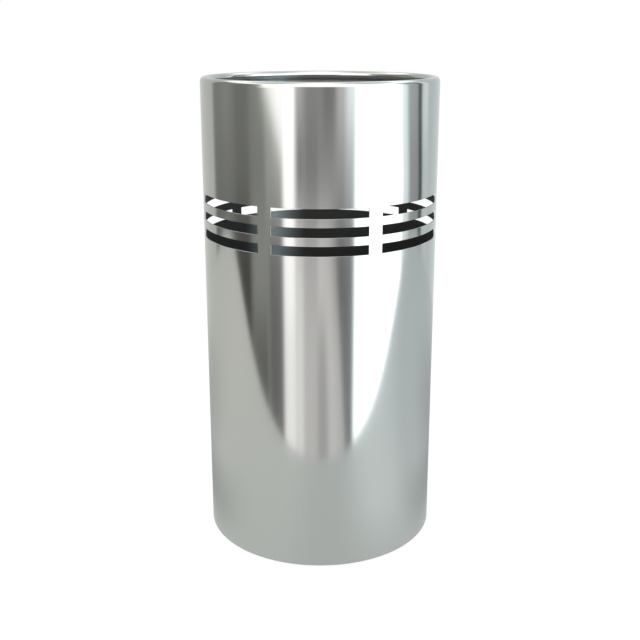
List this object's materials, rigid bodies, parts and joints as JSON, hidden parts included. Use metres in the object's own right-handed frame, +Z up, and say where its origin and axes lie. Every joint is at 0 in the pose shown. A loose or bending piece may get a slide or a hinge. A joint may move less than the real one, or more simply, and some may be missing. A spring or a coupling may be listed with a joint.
{
  "type": "umbrella stand",
  "caption": "Tall round metal stand that holds upright umbrellas, with a rolled rim, bands of horizontal slots near the top, a weighted base on rubber feet and a lift-out drip tray.",
  "frame": {"origin": "on the floor under the tube's axis, at the centre of the feet", "axes": "+Z up along the tube; -Y is the front, where one slot of each row is centred, and +Y the back, where a post is centred"},
  "size_m": [0.25, 0.25, 0.5],
  "materials": {
    "stainless_sheet": "polished stainless steel with a faint grain",
    "plain_steel": "dull pressed steel",
    "cast_iron": "rough casting, painted black",
    "zinc_fastener": "zinc plated",
    "rubber": "matt black rubber",
    "tray_plastic": "moulded black polypropylene, fine texture"
  },
  "bodies": {
    "stand": {"body_tube": "stainless_sheet", "base_pan": "plain_steel", "ballast_disc": "cast_iron", "ballast_bolt": "zinc_fastener", "ballast_washer": "zinc_fastener", "ballast_nut": "zinc_fastener", "foot_1": "rubber", "foot_2": "rubber", "foot_3": "rubber", "foot_4": "rubber", "foot_screws": "zinc_fastener", "foot_washers": "zinc_fastener", "foot_nuts": "zinc_fastener"},
    "drip_tray": {"drip_tray": "tray_plastic"}
  },
  "joints": [
    {"name": "drip_tray_lift", "type": "slide", "parent": "stand", "child": "drip_tray", "axis": [0, 0, 1], "range_m": [0, 0.5]}
  ]
}
